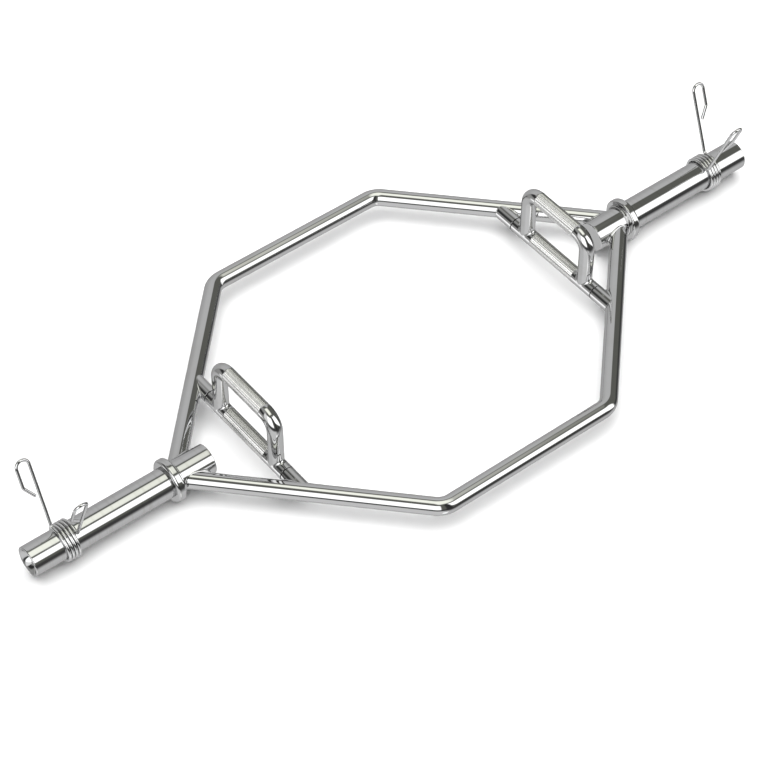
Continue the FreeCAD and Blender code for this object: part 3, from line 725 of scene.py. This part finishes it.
def knurl(bm, axis_x, axis_z, half_length):
    """Press a knurl into the net of vertices between two ends of a bar that runs along Y."""
    step = 2 * math.pi / HANDLE_AROUND
    low, high = [], []
    for vert in bm.verts:
        if abs(vert.co.y) < half_length - KNURL_ROW / 2:
            place = math.atan2(vert.co.z - axis_z, vert.co.x - axis_x) / step
            parity = round(place - HALF_STEP) + round(vert.co.y / KNURL_ROW)
            (high if parity % 2 else low).append(vert)
    radius = math.hypot(low[0].co.x - axis_x, low[0].co.z - axis_z)
    shrink = (radius - KNURL_DEPTH) / radius
    hub = Matrix.Translation((-axis_x, 0, -axis_z))
    bmesh.ops.scale(bm, vec=(shrink, 1, shrink), space=hub, verts=low)
    split = bmesh.ops.connect_verts(bm, verts=low)["edges"]
    for face in {face for edge in split for face in edge.link_faces}:
        face.smooth = False
        face.material_index = KNURL_INDEX
    print("raised points of the knurl:", len(high))


# %% Low grips
LOW_KNURL = 51.0
grip_finishes = (grip_chrome, seam_shade, knurl_satin_sheen)
for side_name, side in SIDES:
    low_grip = BentTube((side * HANDLE_X, 0, AXIS_HEIGHT), Y_AXIS, HANDLE_RADIUS, HANDLE_AROUND)
    knurled = feed_knurl(low_grip, LOW_KNURL)
    low_grip.feed(SEAM_Y - SEAM_HALF_WIDTH - EDGE_BREAK - knurled)
    low_grip.taper(EDGE_BREAK, HANDLE_RADIUS - EDGE_BREAK)
    low_grip.taper(0.0, SEAM_RADIUS)
    low_grip.taper(SEAM_HALF_WIDTH, SEAM_RADIUS)
    low_grip.close()
    mirror_half(low_grip.bm, "Y")
    smooth_all(low_grip.bm)
    for face in seam_faces(low_grip.bm):
        face.material_index = SEAM_INDEX
    knurl(low_grip.bm, side * HANDLE_X, AXIS_HEIGHT, knurled)
    name = f"{side_name}_low_grip"
    piece = new_piece(low_grip.bm, f"{name}_knurled", grip_finishes, [name])
    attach(piece, "bar")

# %% [markdown]
# ## Raised grips
#
# The raised grip is a tube bent to an arch, knurled on top, whose feet flare into the low grip with a
# fillet of weld that was polished smooth before plating.

# %% Raised grips
RAISED_Z, RAISED_RADIUS, RAISED_HALF_SPAN = 132.0, 12.5, 71.0
RAISED_BEND, RAISED_BEND_STEPS, UPRIGHT_RUN = 24.0, 30, 30.0
RAISED_KNURL, RAISED_FILLET = 46.0, 5.0
for side_name, side in SIDES:
    raised = BentTube((side * HANDLE_X, 0, RAISED_Z), Y_AXIS, RAISED_RADIUS, HANDLE_AROUND)
    knurled = feed_knurl(raised, RAISED_KNURL)
    raised.taper(RAISED_HALF_SPAN - RAISED_BEND - knurled, RAISED_RADIUS)
    raised.bend(-Z_AXIS, RAISED_BEND, degrees=90, steps=RAISED_BEND_STEPS)
    raised.feed(UPRIGHT_RUN)
    weld_on(raised, (side * HANDLE_X, 0, AXIS_HEIGHT), Y_AXIS, HANDLE_RADIUS, RAISED_FILLET, hollow=True)
    mirror_half(raised.bm, "Y")
    smooth_all(raised.bm)
    knurl(raised.bm, side * HANDLE_X, RAISED_Z, knurled)
    name = f"{side_name}_raised_grip"
    piece = new_piece(raised.bm, f"{name}_arch", grip_finishes, [name])
    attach(piece, "bar")

# %% [markdown]
# ## Spring clips
#
# Each clip is one wire: four close turns round the sleeve, and an arm at each end that runs up to a finger
# loop. The coil is wound with the spin operator, which can creep along its axis at each step. It is cut in
# the middle into two halves, one wound from the outer arm's end and one from the inner arm's end.

# %% Coils
WIRE_RADIUS, WIRE_AROUND, STRAIGHT_END = 2.6, 24, 5.2
COIL_RADIUS, COIL_PITCH, COIL_SWEEP, COIL_HALF_STEPS = 28.45, 5.82, 1465.0, 110


def spoke(degrees):
    """A direction square to the bar, counted from the rear side upwards."""
    return Vector((0, math.cos(math.radians(degrees)), math.sin(math.radians(degrees))))


def coil_end(first_angle, turn_sign, end_x):
    """Where the coil's straight end meets the arm, and the direction of the wire into the coil."""
    tangent = turn_sign * spoke(first_angle + 90)
    start = Vector((end_x, 0, 0)) + AXIS_POINT + spoke(first_angle) * COIL_RADIUS
    return start - tangent * STRAIGHT_END, tangent


def coil_half(first_angle, turn_sign, end_x):
    """Half of the coil, wound from its outer or inner end to the middle."""
    start, tangent = coil_end(first_angle, turn_sign, end_x)
    wire = BentTube(start, tangent, WIRE_RADIUS, WIRE_AROUND)
    wire.close()
    wire.feed(STRAIGHT_END)
    lead = COIL_PITCH if end_x < 0 else -COIL_PITCH
    wire.wind(AXIS_POINT, turn_sign * X_AXIS, COIL_SWEEP / 2, COIL_HALF_STEPS, lead * turn_sign)
    wire.close()
    return wire.bm


print("turns in a coil:", round(COIL_SWEEP / 360, 2))

# %% Arms
BEND_RADIUS, LEG, LOOP_RADIUS, RETURN, HOOK, TIP_GAP = 6.0, 109.0, 10.5, 31.0, 34.0, 2.0
ARM_BEND_STEPS, LOOP_STEPS, HOOK_STEPS = 16, 28, 8
hook_drop = BEND_RADIUS * (1 - math.cos(math.radians(HOOK)))
tip_run = (2 * LOOP_RADIUS - 2 * WIRE_RADIUS - TIP_GAP - hook_drop) / math.sin(math.radians(HOOK))


def arm(first_angle, turn_sign, end_x, bend):
    """An arm: out from the coil, up the leg, round the finger loop and back to a hooked tip."""
    start, tangent = coil_end(first_angle, turn_sign, end_x)
    wire = BentTube(start, -tangent, WIRE_RADIUS, WIRE_AROUND)
    wire.close()
    wire.bend(spoke(first_angle), BEND_RADIUS, bend, ARM_BEND_STEPS)
    wire.feed(LEG)
    wire.bend(X_AXIS, LOOP_RADIUS, degrees=180, steps=LOOP_STEPS)
    wire.feed(RETURN)
    wire.bend(-X_AXIS, BEND_RADIUS, HOOK, HOOK_STEPS)
    wire.feed(tip_run)
    wire.close()
    return wire.bm


print("hooked tip of an arm:", round(tip_run, 1), "mm")

# %% Clips on their sleeves
CLIP_X = {"left": 641.5, "right": 635.5}
OUTER_ANGLE, OUTER_BEND, INNER_BEND, TWIST_SHARE = 81.0, 78.0, 85.0, 0.9
half_coil = COIL_PITCH * COIL_SWEEP / 360 / 2
ENDS = (
    ("outer", OUTER_ANGLE, 1, half_coil, OUTER_BEND),
    ("inner", OUTER_ANGLE + COIL_SWEEP, -1, -half_coil, INNER_BEND),
)


def placed(bm, side, middle):
    """Move a clip piece, drawn for the right-hand side about the coil's middle, to its own sleeve."""
    bmesh.ops.scale(bm, vec=(side, 1, 1), verts=bm.verts)
    bmesh.ops.translate(bm, vec=(side * middle, 0, 0), verts=bm.verts)
    smooth_all(bm)
    return bm


for side_name, side in SIDES:
    middle = CLIP_X[side_name]
    for end_name, first_angle, turn_sign, end_x, bend in ENDS:
        body = f"{side_name}_clip_{end_name}_arm_body"
        bm = placed(arm(first_angle, turn_sign, end_x, bend), side, middle)
        arm_name = f"{side_name}_clip_{end_name}_arm"
        piece = new_piece(bm, f"{arm_name}_wire", (wire_chrome,), [arm_name])
        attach(piece, body)
        bm = placed(coil_half(first_angle, turn_sign, end_x), side, middle)
        coil_name = f"{side_name}_clip_coil"
        piece = new_piece(bm, f"{coil_name}_{end_name}_half", (wire_chrome,), [coil_name])
        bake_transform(piece)

# %% [markdown]
# ## Hidden spigots
#
# Four plain pins line the grips up with their stubs. They can't be seen, so the CAD pieces stay, in plain
# steel.

# %% Spigots
spigot_steel = chrome("spigot_steel", roughness=(0.25, 0.40), haze_scale=80.0, line_scale=300.0,
                      colour=STEEL, film=STEEL_FILM)
for name, cad_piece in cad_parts.items():
    if name.endswith("spigot"):
        cad_piece.data.materials.clear()
        cad_piece.data.materials.append(spigot_steel)
print("spigots in plain steel")
